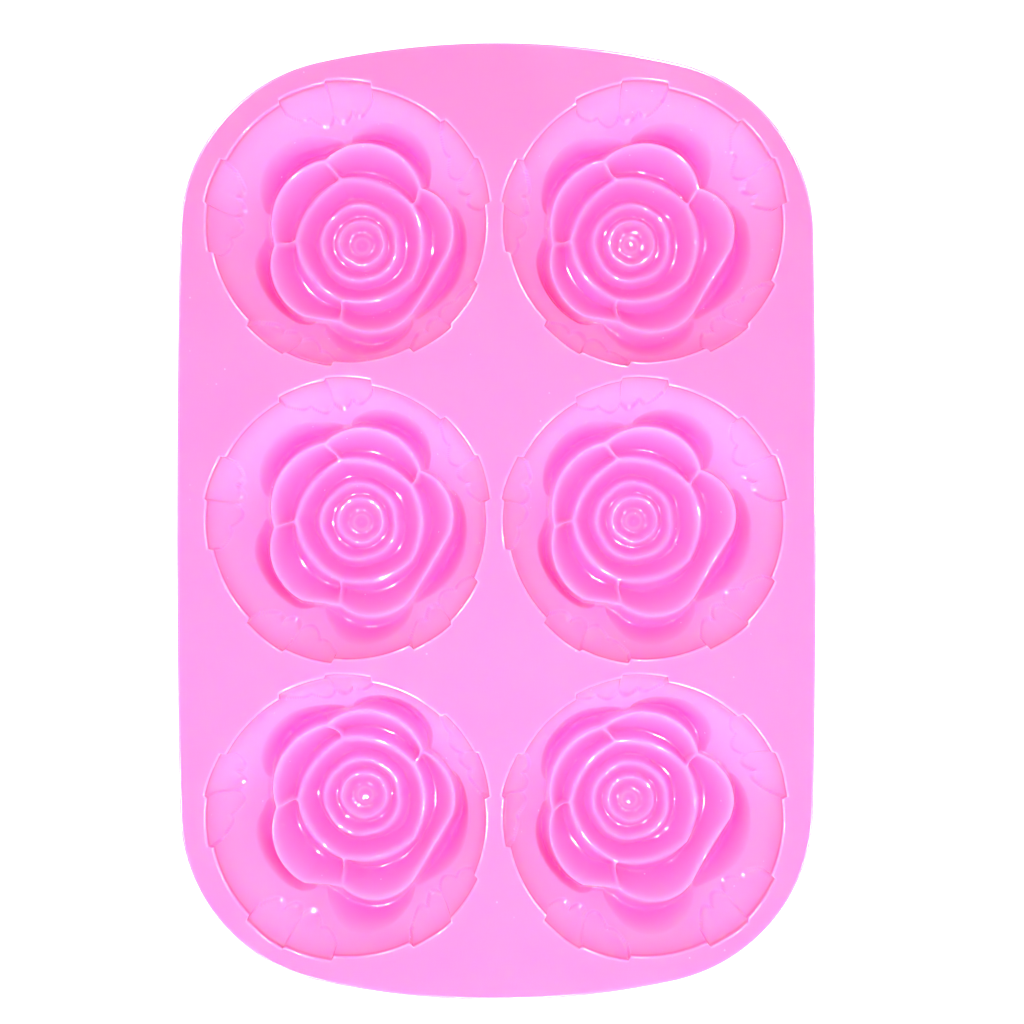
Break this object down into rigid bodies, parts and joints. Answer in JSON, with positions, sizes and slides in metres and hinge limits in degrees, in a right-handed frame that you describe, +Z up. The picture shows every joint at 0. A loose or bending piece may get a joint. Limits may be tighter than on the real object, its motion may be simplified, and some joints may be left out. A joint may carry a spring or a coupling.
{
  "type": "silicone soap mould",
  "caption": "Flexible silicone mould: a flat deck with rounded ends and rose-shaped cups hanging under it, for casting rose soaps.",
  "frame": {"origin": "on the supporting surface, under the middle of the deck", "axes": "+X across the mould, +Y along its long way, +Z up out of the cups' mouths"},
  "size_m": [0.1736, 0.26, 0.034],
  "materials": {
    "silicone": "glossy pink silicone, slightly translucent"
  },
  "bodies": {
    "root": {"deck": "silicone", "rose_cup_front_left": "silicone", "rose_cup_front_right": "silicone", "rose_cup_middle_left": "silicone", "rose_cup_middle_right": "silicone", "rose_cup_back_left": "silicone", "rose_cup_back_right": "silicone"}
  },
  "joints": []
}
